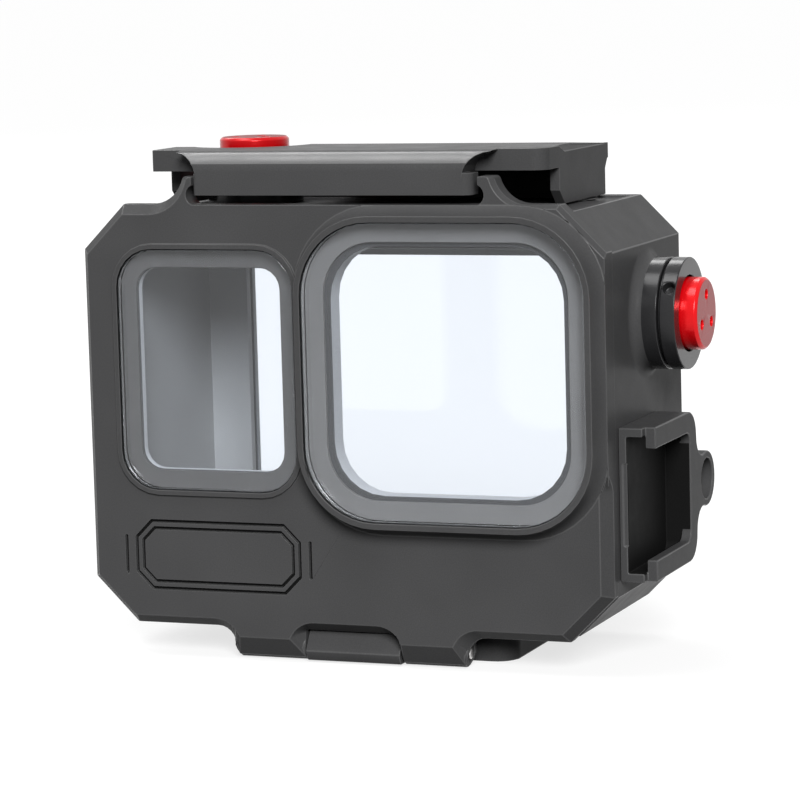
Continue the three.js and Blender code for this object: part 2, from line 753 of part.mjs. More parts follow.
function rearWindow() {
  const pane = prism("y", roundedBox(rearPane, rearPaneCorner), rearPaneFront, rearPaneBack);
  piece("body", "rear_window", pane, glass);
  piece(
    "body",
    "rear_window_seal",
    flatRing(
      rearPane,
      rearPaneCorner,
      grown(rearPane, -rearSealBand),
      rearPaneCorner - rearSealBand,
      rearLedge + seatGap,
      rearSealBack,
    ),
    rubber,
  );
  const recess = prism(
    "y",
    roundedBox(grown(rearPane, paneGap), rearPaneCorner + paneGap),
    rearFrameFront - cutOverrun,
    rearPaneBack + seatGap,
  );
  const frame = flatRing(
    rearFrameBox,
    rearFrameCorner,
    grown(rearPane, -rearFrameLap),
    rearPaneCorner - rearFrameLap,
    rearFrameFront,
    rearFrameBack,
  );
  const holes = rearScrewPlaces.map((place) =>
    screw("y", place, rearFrameBack, -1, rearFrameBack - bodyBack + rearScrewGrip, pinGap),
  );
  piece("body", "rear_window_frame", cut(frame, recess, ...holes), blackMetal);
  const names = ["low_left", "low_right", "high_left", "high_right"];
  rearScrewPlaces.forEach((place, i) =>
    piece("body", "rear_screw_" + names[i], screw("y", place, rearFrameBack, -1, rearScrewReach), steel),
  );
}

// Latch places
const latchUnderside = latchTop - latchPlateThickness;
const cheekInner = latchHalfWidth - cheekThickness;
const latchBarrelEnd = cheekInner - runningGap;
const latchPivot = [latchPivotBack, latchPivotHeight];
const cheekRear = latchRear - cheekRearInset;
const cheekReach = Math.hypot(cheekRear - latchPivotBack, latchPivotHeight - cheekBottom);
const reliefFloor = Math.min(bodyTop, latchPivotHeight - cheekReach - runningGap);

// Shutter places
const shutterMiddle = [shutterX, shutterBack];
const shutterCapBottom = shutterCapTop - shutterCapHeight;
const bushingTop = shutterCapBottom - shutterTravel - runningGap;
const shutterWellFloor = bodyTop + seatGap;

// Mode places
const modeMiddle = [modeBack, modeHeight];
const modeCapInner = modeCapTip - modeCapLength;
const bossTip = bodyHalf + bossLength;
const collarInner = bossTip + seatGap;
const collarTip = collarInner + bossGrooveWidth + collarLength;
const modeWellFloor = bodyHalf + springWellDepth;
const modeSealFrom = modeWellFloor - sealInset - sealLength;

const latchPinBore = (from, to) => rod("x", latchPivot, latchPinRadius + pinGap, from, to);

// The shell carries the lever's pins in a long barrel between the lever's cheeks
function latchBarrel() {
  const profile = [
    [latchPivotBack - latchBarrelRadius, bodyTop - rootOverlap],
    [latchPivotBack + latchBarrelRadius, bodyTop - rootOverlap],
    ...arc(latchPivotBack, latchPivotHeight, latchBarrelRadius, 0, 180),
  ];
  return prism("x", profile, -latchBarrelEnd, latchBarrelEnd);
}

const reliefs = () =>
  [-1, 1].map((side) => {
    const inner = side * (cheekInner - runningGap);
    const outer = side * (cheekInner + reliefWidth + cheekThickness);
    return block(
      [Math.min(inner, outer), Math.max(inner, outer)],
      [cheekRear + runningGap + cheekRearInset - reliefLength, cheekRear + runningGap + cheekRearInset],
      [reliefFloor, bodyTop + cutOverrun],
    );
  });

// The middle knuckle hangs from the shell's underside and reaches forward to the hinge axis
function middleKnuckle() {
  const foot = -blockDrop + bodyBarrelLift;
  const rear = hingeBack + neckLength;
  const neck = [
    [hingeBack, foot],
    [rear, foot],
    [rear, bodyBottom + rootOverlap],
    [bodyFront, bodyBottom + rootOverlap],
    [bodyFront, hingeHeight + doorBarrelRadius],
    [hingeBack, hingeHeight + doorBarrelRadius],
  ];
  const round = arc(hingeBack, hingeHeight, bodyBarrelRadius, bodyBarrelFlatFrom, 360 + bodyBarrelFlatTo);
  const under = block(
    [bodyBarrelLeft - cutOverrun, bodyBarrelRight + cutOverrun],
    [hingeBack - bodyBarrelRadius - cutOverrun, rear],
    [foot - bodyBarrelRadius, foot],
  );
  const knuckle = join(
    prism("x", neck, bodyBarrelLeft, bodyBarrelRight),
    prism("x", round, bodyBarrelLeft, bodyBarrelRight),
  );
  return cut(knuckle, under);
}

// The boss on the side wall runs into the wall with a hollow root
function modeBoss() {
  const rootFrom = bodyHalf - rootOverlap;
  const outline = [
    [0, rootFrom],
    [bossRadius + bossRootRadius, rootFrom],
    ...arc(bossRadius + bossRootRadius, bodyHalf + bossRootRadius, bossRootRadius, -90, -180, bossRootSteps),
    [bossRadius, bossTip],
    [0, bossTip],
  ];
  const points = outline.map(([radius, height]) => new THREE.Vector2(radius, height));
  const geometry = new THREE.LatheGeometry(points, turnSteps(bossRadius));
  geometry.rotateX(Math.PI / 2);
  geometry.translate(modeBack, modeHeight, 0);
  return solid(along("x", geometry));
}

// Bore, clip well, seal groove and spring well for the mode button's stem, from the cavity outwards
function modePassage() {
  const start = cavityHalf - cutOverrun;
  return join(
    rod("x", modeMiddle, stemRadius + pinGap, start, modeWellFloor + cutOverrun),
    rod("x", modeMiddle, clipRadius + runningGap, start, cavityHalf + clipWellDepth),
    rod("x", modeMiddle, sealRadius + pinGap, modeSealFrom - seatGap, modeSealFrom + sealLength + seatGap),
    rod("x", modeMiddle, springRadius + pinGap, modeWellFloor, bossTip + cutOverrun),
  );
}

function housingShell() {
  const depth = [bodyFront, bodyBack];
  const box = [-bodyHalf, bodyHalf, bodyBottom, bodyTop];
  const sealPath = grown(cavity, doorSealOffset);
  const sealCorner = cavityCorner + doorSealOffset;
  const half = doorSealWidth / 2 + seatGap;
  const sealGroove = flatRing(
    grown(sealPath, half),
    sealCorner + half,
    grown(sealPath, -half),
    sealCorner - half,
    bodyFront - cutOverrun,
    bodyFront + doorSealThickness,
  );
  const shoeHoles = shoeScrewPlaces.map((place) =>
    screw("x", place, cavityHalf, 1, sideWall, pinGap),
  );
  const mountScrewEnd = bodyBottom + mountScrewGrip;
  const mountHoles = mountScrewPlaces.map((place) =>
    rod("z", place, screwShankRadius + pinGap, bodyBottom - cutOverrun, mountScrewEnd + pinGap),
  );
  const rearHoles = rearScrewPlaces.map((place) =>
    rod("y", place, screwShankRadius + pinGap, bodyBack - rearScrewGrip - pinGap, bodyBack + cutOverrun),
  );
  return cut(
    join(prism("y", cutBox(box, bodyCornerCut), ...depth), latchBarrel(), middleKnuckle(), modeBoss()),
    ...reliefs(),
    prism("y", roundedBox(cavity, cavityCorner), bodyFront - cutOverrun, cavityBack),
    prism("y", roundedBox(rearOpening, rearOpeningCorner), cavityBack - cutOverrun, bodyBack + cutOverrun),
    prism(
      "y",
      roundedBox(grown(rearPane, paneGap), rearPaneCorner + paneGap),
      rearLedge,
      bodyBack + cutOverrun,
    ),
    sealGroove,
    rod("z", shutterMiddle, spigotRadius + seatGap, bodyTop - spigotDepth - seatGap, bodyTop + cutOverrun),
    rod("z", shutterMiddle, stemRadius + pinGap, cavityTop - cutOverrun, bodyTop),
    rod("z", shutterMiddle, clipRadius + runningGap, cavityTop - cutOverrun, cavityTop + clipWellDepth),
    modePassage(),
    rod("x", hingeAxis, hingePinRadius + pinGap, bodyBarrelLeft - cutOverrun, bodyBarrelRight + cutOverrun),
    latchPinBore(latchBarrelEnd - latchPinGrip, latchBarrelEnd + cutOverrun),
    latchPinBore(-latchBarrelEnd - cutOverrun, latchPinGrip - latchBarrelEnd),
    ...shoeHoles,
    ...mountHoles,
    ...rearHoles,
  );
}

function doorSeal() {
  const path = grown(cavity, doorSealOffset);
  const corner = cavityCorner + doorSealOffset;
  const half = doorSealWidth / 2;
  return flatRing(
    grown(path, half),
    corner + half,
    grown(path, -half),
    corner - half,
    bodyFront + seatGap / 2,
    bodyFront + doorSealThickness - seatGap / 2,
  );
}

// The lever's outline from above without its lip, from the right front corner round to the left one
function latchPlan() {
  const cornerX = latchHalfWidth - latchCornerRadius;
  const notchTurn = THREE.MathUtils.radToDeg(Math.asin((shutterBack - latchLeftRear) / latchNotchRadius));
  return [
    ...arc(cornerX, latchFaceBack + latchCornerRadius, latchCornerRadius, -90, 0),
    [latchHalfWidth, latchRear],
    [shutterX + latchNotchRadius, latchRear],
    ...arc(shutterX, shutterBack, latchNotchRadius, 0, -180 + notchTurn),
    [-latchHalfWidth, latchLeftRear],
    [-latchHalfWidth, latchFaceBack],
  ];
}

// The lip's outline from the front, which flares out to both sides under the lever's top
function lipOutline() {
  const flareHeight = latchTop - lipFlareEdge - lipFlareRadius;
  const side = (end) => [
    [end, lipBottom],
    ...arc(end + lipFlareRadius, flareHeight, lipFlareRadius, 180, 90),
    [end + lipFlareRadius, latchTop],
  ];
  return [...side(lipRight - lipRightRounding), ...mirrored(side(lipLeft - lipLeftRounding))];
}

// The lip's outline from above, with rounded ends
const lipPlan = () => [
  ...arc(lipLeftRounding - lipLeft, lipLeftRounding, lipLeftRounding, 180, 270, lipEndSteps),
  ...arc(lipRight - lipRightRounding, lipRightRounding, lipRightRounding, 270, 360, lipEndSteps),
  [lipRight, lipThickness],
  [-lipLeft, lipThickness],
];

function cheek(from, to, top) {
  const profile = [
    [cheekFront, top],
    [cheekFront, cheekShoulderHeight],
    [cheekFront + cheekSlantDepth, cheekBottom],
    [cheekRear, cheekBottom],
    [cheekRear, Math.min(top, latchUnderside - cheekStepRise)],
    [Math.min(latchRear, cheekRear + top - latchUnderside + cheekStepRise), top],
  ];
  return prism("x", profile, from, to);
}

function latchLever() {
  const past = latchHalfWidth + cutOverrun;
  const plate = prism("z", latchPlan(), latchUnderside, latchTop);
  const above = block([-past, past], [-cutOverrun, latchRear], [latchUnderside, latchTop + cutOverrun]);
  const lip = join(
    prism("z", lipPlan(), lipBottom, latchUnderside),
    prism("y", lipOutline(), 0, lipThickness),
    common(prism("y", lipOutline(), 0, latchFaceBack + rootOverlap), above),
  );
  const frontEdge = cut(
    block([-past, past], [-cutOverrun, lipRounding], [latchTop - lipRounding, latchTop + cutOverrun]),
    rod("x", [lipRounding, latchTop - lipRounding], lipRounding, -past - cutOverrun, past + cutOverrun),
  );
  const slope = prism(
    "x",
    [
      [latchSlopeStart, latchTop],
      [latchRear + cutOverrun, latchTop - latchSlopeDrop],
      [latchRear + cutOverrun, latchTop + cutOverrun],
      [latchSlopeStart, latchTop + cutOverrun],
    ],
    -past,
    past,
  );
  const lead = prism(
    "x",
    [
      [cheekFront, latchTop + cutOverrun],
      [cheekFront, latchTop],
      [cheekFront + latchChamferRun, latchTop - latchSideChamfer],
      [cheekFront + latchChamferRun, latchTop - latchSideChamfer - cutOverrun],
      [latchRear + cutOverrun, latchTop - latchSideChamfer - cutOverrun],
      [latchRear + cutOverrun, latchTop + cutOverrun],
    ],
    0,
    past,
  );
  const sideEdge = prism(
    "y",
    [
      [latchHalfWidth - latchSideChamfer - cutOverrun, latchTop + cutOverrun],
      [latchHalfWidth + cutOverrun, latchTop - latchSideChamfer - cutOverrun],
      [latchHalfWidth + cutOverrun, latchTop + cutOverrun],
    ],
    latchFaceBack,
    latchRear + cutOverrun,
  );
  const armTop = latchPivotHeight + latchBarrelRadius;
  const armRoot = block(
    [-latchHalfWidth, -cheekInner],
    [cheekFront, latchLeftRear],
    [armTop - rootOverlap, latchUnderside + rootOverlap],
  );
  const blind = cheekInner + latchPinBlindDepth;
  return cut(
    join(
      plate,
      lip,
      cheek(cheekInner, latchHalfWidth, latchUnderside + rootOverlap),
      cheek(-latchHalfWidth, -cheekInner, armTop),
      armRoot,
    ),
    frontEdge,
    slope,
    common(lead, sideEdge),
    latchPinBore(cheekInner - cutOverrun, blind),
    latchPinBore(-blind, cutOverrun - cheekInner),
  );
}

// A button cap: a round disc with a softened outer edge and three finger holes in its face
function buttonCap(axis, [across, up], radius, inner, outer) {
  const places = Array.from({ length: capHoles }, (_, i) => {
    const angle = Math.PI / 2 + (i * 2 * Math.PI) / capHoles;
    return [across + capHolePitchRadius * Math.cos(angle), up + capHolePitchRadius * Math.sin(angle)];
  });
  const edge = outer - capRounding;
  const body = join(
    rod(axis, [across, up], radius, inner, edge),
    rod(axis, [across, up], radius, edge, outer, radius - capRounding),
  );
  const hole = (place) => rod(axis, place, capHoleRadius, outer - capHoleDepth, outer + cutOverrun);
  const socket = rod(axis, [across, up], stemRadius + pinGap, inner - cutOverrun, inner + stemTail + pinGap);
  return cut(body, ...places.map(hole), socket);
}

const stem = (axis, place, tip, capInner) =>
  cut(rod(axis, place, stemRadius, tip, capInner + stemTail), clipGroove(axis, place, tip));

const spring = (axis, place, from, to) =>
  ring(axis, place, springRadius, springRadius - springWall, from, to);

function shutterButton() {
  const [place, tip] = [shutterMiddle, cavityTop + stemTipInset];
  const spigotFoot = bodyTop - spigotDepth;
  const sealFrom = spigotFoot + sealInset;
  const springTop = shutterCapBottom - pinGap;
  const bushing = cut(
    join(
      rod("z", place, bushingRadius, bodyTop + seatGap, bushingTop),
      rod("z", place, spigotRadius, spigotFoot, bodyTop + rootOverlap),
    ),
    rod("z", place, stemRadius + pinGap, spigotFoot - cutOverrun, bushingTop),
    rod("z", place, springRadius + pinGap, shutterWellFloor, bushingTop + cutOverrun),
    rod("z", place, sealRadius + pinGap, sealFrom - seatGap, sealFrom + sealLength + seatGap),
  );
  piece("body", "shutter_bushing", bushing, blackMetal);
  piece(
    "body",
    "shutter_seal",
    ring("z", place, sealRadius, stemRadius + pinGap / 2, sealFrom, sealFrom + sealLength),
    rubber,
  );
  const cap = buttonCap("z", place, shutterCapRadius, shutterCapBottom, shutterCapTop);
  piece("shutter", "shutter_button", cap, redMetal);
  piece("shutter", "shutter_stem", stem("z", place, tip, shutterCapBottom), steel);
  piece("shutter", "shutter_clip", clip("z", place, tip), steel);
  piece("shutter", "shutter_spring", spring("z", place, shutterWellFloor + pinGap, springTop), steel);
}

const clipGroove = (axis, place, tip) =>
  ring(
    axis,
    place,
    stemRadius + cutOverrun,
    stemRadius - clipNeck,
    tip + clipOffset - seatGap,
    tip + clipOffset + clipThickness + seatGap,
  );

function clip(axis, place, tip) {
  const from = tip + clipOffset;
  return ring(axis, place, clipRadius, stemRadius - clipNeck + seatGap, from, from + clipThickness);
}

function modeButton() {
  const [place, tip] = [modeMiddle, cavityHalf + stemTipInset];
  const collarBody = join(
    rod("x", place, bossRadius - bossGrooveDepth, collarInner, collarInner + bossGrooveWidth + rootOverlap),
    rod("x", place, bossRadius, collarInner + bossGrooveWidth, collarTip),
  );
  const recessFloor = modeCapInner - modeTravel - runningGap;
  const holeLength = collarHoleDepth + cutOverrun;
  const crossHole = new THREE.CylinderGeometry(
    collarHoleRadius,
    collarHoleRadius,
    holeLength,
    turnSteps(collarHoleRadius),
  );
  crossHole.translate(0, holeLength / 2 - bossRadius - cutOverrun, 0);
  crossHole.rotateX(-THREE.MathUtils.degToRad(collarHoleAngle));
  crossHole.translate(collarInner + bossGrooveWidth + collarLength / 2, modeBack, modeHeight);
  const collar = cut(
    collarBody,
    rod("x", place, springRadius + pinGap, collarInner - cutOverrun, collarTip),
    rod("x", place, modeCapRadius + runningGap, recessFloor, collarTip + cutOverrun),
    solid(crossHole),
  );
  const modeSeal = ring(
    "x",
    place,
    sealRadius,
    stemRadius + pinGap / 2,
    modeSealFrom,
    modeSealFrom + sealLength,
  );
  piece("body", "mode_collar", collar, blackMetal);
  piece("body", "mode_seal", modeSeal, rubber);
  const cap = buttonCap("x", place, modeCapRadius, modeCapInner, modeCapTip);
  piece("mode", "mode_button", cap, redMetal);
  piece("mode", "mode_stem", stem("x", place, tip, modeCapInner), steel);
  piece("mode", "mode_clip", clip("x", place, tip), steel);
  piece("mode", "mode_spring", spring("x", place, modeWellFloor + pinGap, modeCapInner - pinGap), steel);
}

// Side shoe places
const shoeInner = bodyHalf + seatGap;
const shoeOuter = bodyHalf + shoeWidth;
const shoeTop = modeHeight - bossRadius - shoeBelowBoss;
const shoeBottom = shoeTop - shoeHeight;
const shoeMiddle = (shoeBottom + shoeTop) / 2;
const shoeRear = shoeFront + shoeLength;
const shoeScrewPlaces = [
  [shoeRear - shoeStop / 2, shoeMiddle - shoeScrewSpacing / 2],
  [shoeRear - shoeStop / 2, shoeMiddle + shoeScrewSpacing / 2],
];

// The eyelet's outline, which runs into the shoe's rear edge with hollow roots
function eyeletOutline() {
  const middleY = shoeRear + eyeletReach;
  const middleZ = shoeMiddle - eyeletDrop;
  const rootY = shoeRear + eyeletRootRadius;
  const spread = eyeletRadius + eyeletRootRadius;
  const rise = Math.sqrt(spread ** 2 - (middleY - rootY) ** 2);
  const turn = THREE.MathUtils.radToDeg(Math.atan2(rise, rootY - middleY));
  return [
    [shoeRear - shoeStop / 2, middleZ - rise],
    ...arc(rootY, middleZ - rise, eyeletRootRadius, 180, 180 - turn),
    ...arc(middleY, middleZ, eyeletRadius, -turn, turn, eyeletSteps).slice(1, -1),
    ...arc(rootY, middleZ + rise, eyeletRootRadius, turn - 180, -180),
    [shoeRear - shoeStop / 2, middleZ + rise],
  ];
}

function sideShoe() {
  const bodyOutline = [
    [shoeFront, shoeBottom],
    ...arc(shoeRear - shoeCorner, shoeBottom + shoeCorner, shoeCorner, -90, 0),
    ...arc(shoeRear - shoeCorner, shoeTop - shoeCorner, shoeCorner, 0, 90),
    [shoeFront, shoeTop],
  ];
  const channelBack = shoeRear - shoeStop;
  const web = shoeInner + shoeWeb;
  const lipInner = shoeOuter - shoeLipThickness;
  const slot = (low, high, corner) => [
    [shoeFront - cutOverrun, low],
    ...arc(channelBack - corner, low + corner, corner, -90, 0),
    ...arc(channelBack - corner, high - corner, corner, 0, 90),
    [shoeFront - cutOverrun, high],
  ];
  const inside = slot(shoeBottom + shoeFlange, shoeTop - shoeFlange, shoeInnerCorner);
  const channel = prism("x", inside, web, lipInner);
  const gapLow = shoeBottom + shoeFlange + shoeLipLap;
  const gapHigh = shoeTop - shoeFlange - shoeLipLap;
  const gap = prism("x", slot(gapLow, gapHigh, shoeInnerCorner), web, shoeOuter + cutOverrun);
  const lipFront = block(
    [lipInner, shoeOuter + cutOverrun],
    [shoeFront - cutOverrun, shoeFront + shoeLipSetback],
    [shoeBottom - cutOverrun, shoeTop + cutOverrun],
  );
  const leadLow = shoeBottom + shoeFlange + shoeLeadInset;
  const leadHigh = shoeTop - shoeFlange - shoeLeadInset;
  const leadIn = prism(
    "z",
    [
      [web - shoeLeadIn, shoeFront - cutOverrun],
      [web + cutOverrun, shoeFront - cutOverrun],
      [web + cutOverrun, shoeFront + shoeLeadIn],
      [web, shoeFront + shoeLeadIn],
      [web - shoeLeadIn, shoeFront],
    ],
    leadLow,
    leadHigh,
  );
  const eyelet = prism("x", eyeletOutline(), shoeOuter - eyeletThickness, shoeOuter);
  const eyeletHole = rod(
    "x",
    [shoeRear + eyeletReach, shoeMiddle - eyeletDrop],
    eyeletHoleRadius,
    shoeOuter - eyeletThickness - cutOverrun,
    shoeOuter + cutOverrun,
  );
  const reach = sideWall + seatGap - screwHeadHeight + shoeScrewGrip;
  const holes = shoeScrewPlaces.map((place) => screw("x", place, cavityHalf, 1, reach, pinGap));
  const body = prism("x", bodyOutline, shoeInner, shoeOuter);
  const shoe = cut(join(body, eyelet), channel, gap, lipFront, leadIn, eyeletHole, ...holes);
  piece("body", "side_shoe", shoe, blackMetal);
  ["lower", "upper"].forEach((name, i) => {
    const fastener = screw("x", shoeScrewPlaces[i], cavityHalf, 1, reach - pinGap);
    piece("body", "shoe_screw_" + name, fastener, steel);
  });
}

// Mount block places
const blockBottom = -blockDrop;
const blockTop = bodyBottom - seatGap;
const mountScrewPlaces = [
  [blockMiddleX - blockScrewSpacing / 2, blockMiddleY],
  [blockMiddleX + blockScrewSpacing / 2, blockMiddleY],
];

function mountBlock() {
  const plan = [blockLeft, blockLeft + blockLength, blockFront, blockFront + blockDepth];
  const threads = [-1, 1].map((side) =>
    rod(
      "z",
      [blockMiddleX + (side * blockHoleSpacing) / 2, blockMiddleY],
      blockHoleRadius,
      blockBottom - cutOverrun,
      blockBottom + blockHoleDepth,
    ),
  );
  const reach = blockTop - blockBottom - screwHeadHeight + mountScrewGrip;
  const holes = mountScrewPlaces.map((place) => screw("z", place, blockBottom, 1, reach, pinGap));
  const body = cut(prism("z", roundedBox(plan, blockCorner), blockBottom, blockTop), ...threads, ...holes);
  piece("body", "mount_block", body, blackMetal);
  ["left", "right"].forEach((name, i) => {
    const fastener = screw("z", mountScrewPlaces[i], blockBottom, 1, reach - pinGap);
    piece("body", "mount_screw_" + name, fastener, steel);
  });
}

function pins() {
  const hingePin = rod("x", hingeAxis, hingePinRadius, leftBarrel[0] + pinGap, rightBarrel[1] - pinGap);
  piece("body", "hinge_pin", hingePin, steel);
  const inner = latchBarrelEnd - latchPinGrip + pinGap;
  const outer = cheekInner + latchPinBlindDepth - pinGap;
  piece("body", "latch_pin_right", rod("x", latchPivot, latchPinRadius, inner, outer), steel);
  piece("body", "latch_pin_left", rod("x", latchPivot, latchPinRadius, -outer, -inner), steel);
}

function cameraPads() {
  const middleY = (bodyFront + cavityBack) / 2;
  [-1, 1].forEach((side) => {
    const x = (side * padSpacing) / 2;
    const pad = block(
      [x - padWidth / 2, x + padWidth / 2],
      [middleY - padDepth / 2, middleY + padDepth / 2],
      [cavityBottom + seatGap, cavityBottom + seatGap + padThickness],
    );
    piece("body", side < 0 ? "rest_pad_left" : "rest_pad_right", pad, rubber);
  });
}

piece("body", "housing_shell", housingShell(), blackMetal);
piece("body", "door_seal", doorSeal(), rubber);
rearWindow();
pins();
sideShoe();
mountBlock();
cameraPads();
piece("door", "front_door", frontDoor(), blackMetal);
doorWindows();
piece("latch", "latch_lever", latchLever(), blackMetal);
shutterButton();
modeButton();

housing.position.set(-blockMiddleX, -blockMiddleY, -blockBottom);

export default housing;
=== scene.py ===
import json
import math

import bmesh
import bpy
from mathutils import Matrix, Vector

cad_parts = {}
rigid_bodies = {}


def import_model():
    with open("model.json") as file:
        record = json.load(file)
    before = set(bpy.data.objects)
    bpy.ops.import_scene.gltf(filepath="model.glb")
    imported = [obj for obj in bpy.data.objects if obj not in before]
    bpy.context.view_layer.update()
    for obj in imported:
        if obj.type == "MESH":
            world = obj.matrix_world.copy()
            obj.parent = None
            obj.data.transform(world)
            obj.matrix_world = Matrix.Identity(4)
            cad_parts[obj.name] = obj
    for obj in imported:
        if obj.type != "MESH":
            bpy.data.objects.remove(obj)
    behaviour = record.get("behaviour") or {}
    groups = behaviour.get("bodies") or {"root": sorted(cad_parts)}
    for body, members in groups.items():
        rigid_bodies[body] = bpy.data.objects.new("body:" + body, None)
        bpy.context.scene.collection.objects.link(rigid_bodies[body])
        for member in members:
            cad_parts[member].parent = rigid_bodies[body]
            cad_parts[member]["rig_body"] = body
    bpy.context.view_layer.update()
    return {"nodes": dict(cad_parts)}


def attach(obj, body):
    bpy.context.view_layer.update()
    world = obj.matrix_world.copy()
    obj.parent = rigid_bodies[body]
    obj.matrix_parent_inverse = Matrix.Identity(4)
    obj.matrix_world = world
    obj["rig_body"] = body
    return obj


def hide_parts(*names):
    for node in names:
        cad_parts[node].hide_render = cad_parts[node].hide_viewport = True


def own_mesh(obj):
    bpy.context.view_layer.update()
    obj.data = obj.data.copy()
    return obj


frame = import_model()

# An underwater camera housing. Each solid of the frame gets rounded edges and its finish, the two
# return springs are wound as wire, and the whole stands on a white floor.
MM = 0.001
X, Y, Z = range(3)  # the axes' places in a vector or a box
FACING = 0.5  # a face looks along an axis where that part of its normal is larger than this


# ---------------------------------------------------------------- measures taken from the frame
def box_of(node):
    """The node's least and greatest x, y and z in millimetres."""
    places = [vertex.co / MM for vertex in frame["nodes"][node].data.vertices]
    return [(min(p[i] for p in places), max(p[i] for p in places)) for i in range(3)]


def middle_of(node):
    """The middle of the node's box in millimetres."""
    return [sum(pair) / 2 for pair in box_of(node)]


def within(value, low, high):
    return low < value < high


def linked(name, data):
    """A new object in the scene that shows the mesh, lamp or camera."""
    made = bpy.data.objects.new(name, data)
    bpy.context.scene.collection.objects.link(made)
    return made


# ---------------------------------------------------------------- materials
class Nodes:
    """A node tree, with short calls for the nodes used here."""

    def __init__(self, tree):
        self.tree = tree
        tree.nodes.clear()

    def add(self, kind, links=(), **values):
        """A new node. links joins outputs to its inputs, values are its settings and inputs."""
        node = self.tree.nodes.new(kind)
        for key, value in values.items():
            if hasattr(node, key):
                setattr(node, key, value)
            else:
                node.inputs[key].default_value = value
        for key, source in dict(links).items():
            self.tree.links.new(source, node.inputs[key])
        return node

    def larger(self, first, second):
        return self.add("ShaderNodeMath", {0: first, 1: second}, operation="MAXIMUM").outputs[0]

    def blended(self, amount, first, second):
        """The first shader where amount is 0, and the second where it is 1."""
        return self.add("ShaderNodeMixShader", {0: amount, 1: first, 2: second}).outputs[0]

    def backdrop_rays(self):
        """1 for a ray that shows the backdrop: from the camera, or by way of gloss or glass."""
        rays = self.add("ShaderNodeLightPath").outputs
        direct = self.larger(rays["Is Camera Ray"], rays["Is Glossy Ray"])
        return self.larger(direct, rays["Is Transmission Ray"])


class Recipe(Nodes):
    """A material's nodes, round one Principled shader."""

    def __init__(self, name):
        self.material = bpy.data.materials.new(name)
        self.material.use_nodes = True
        super().__init__(self.material.node_tree)
        self.out = self.add("ShaderNodeOutputMaterial")
        self.shader = self.add("ShaderNodeBsdfPrincipled")
        self.show(self.shader.outputs[0])
        self.place = self.add("ShaderNodeTexCoord").outputs["Object"]

    def show(self, shader):
        self.tree.links.new(shader, self.out.inputs[0])

    def link(self, source, socket):
        self.tree.links.new(source, self.shader.inputs[socket])

    def set(self, values):
        for socket, value in values.items():
            self.shader.inputs[socket].default_value = value

    def noise(self, per_metre, detail, roughness=0.55, stretch=(1, 1, 1)):
        mapped = self.add("ShaderNodeMapping", {"Vector": self.place}, Scale=stretch)
        made = self.add(
            "ShaderNodeTexNoise",
            {"Vector": mapped.outputs[0]},
            Scale=per_metre,
            Detail=detail,
            Roughness=roughness,
        )
        return made.outputs["Fac"]

    def shades(self, source, colour, darkest, lightest, low=0.3, high=0.7):
        """The colour times darkest where the source is low, and times lightest where it is high."""
        made = self.add("ShaderNodeValToRGB", {0: source})  # it has two stops
        stops = ((low, darkest), (high, lightest))
        for element, (place, share) in zip(made.color_ramp.elements, stops):
            element.position = place
            element.color = (*tinted(colour, share), 1)
        return made.outputs[0]

    def multiplied(self, first, second, amount):
        """The first colour times the second, as far as amount says."""
        colour_a, colour_b, colour_out = 6, 7, 2  # the node has sockets for other kinds as well
        links = {colour_a: first, colour_b: second}
        made = self.add("ShaderNodeMix", data_type="RGBA", blend_type="MULTIPLY")
        made.inputs[0].default_value = amount
        for socket, source in links.items():
            self.tree.links.new(source, made.inputs[socket])
        return made.outputs[colour_out]

    def rough(self, source, least, most, low=0.3, high=0.7):
        """The roughness goes from least to most as the source goes from low to high."""
        made = self.add("ShaderNodeMapRange", {0: source})
        for socket, value in enumerate((low, high, least, most), start=1):
            made.inputs[socket].default_value = value
        self.link(made.outputs[0], "Roughness")

    def bump(self, height, strength, distance):
        made = self.add("ShaderNodeBump", {"Height": height}, Strength=strength, Distance=distance)
        self.link(made.outputs[0], "Normal")


def tinted(colour, share):
    return tuple(c * share for c in colour)


GRAIN_DEPTH = 0.02 * MM
TURNED_DEPTH = 0.01 * MM
TURNED_RING = 0.16 * MM  # from one ring of the turning tool to the next


def blasted_metal(name, colour, rough, specular=0.5, grain=1.0, coat=0.0):
    """Blasted and anodised metal: a fine even grain, and faint broad clouds in tone and gloss."""
    m = Recipe(name)
    fine = m.noise(per_metre=5200, detail=2, roughness=0.6)
    tone = m.shades(m.noise(per_metre=60, detail=2), colour, 0.93, 1.07)
    speck = m.shades(fine, (1, 1, 1), 0.9, 1.1, 0.35, 0.65)
    m.link(m.multiplied(tone, speck, 0.8), "Base Color")
    m.rough(m.noise(per_metre=240, detail=3), rough - 0.03, rough + 0.05)
    m.set({"Specular IOR Level": specular, "Coat Weight": coat, "Coat Roughness": 0.18})
    m.bump(fine, strength=0.12 * grain, distance=GRAIN_DEPTH)
    return m.material


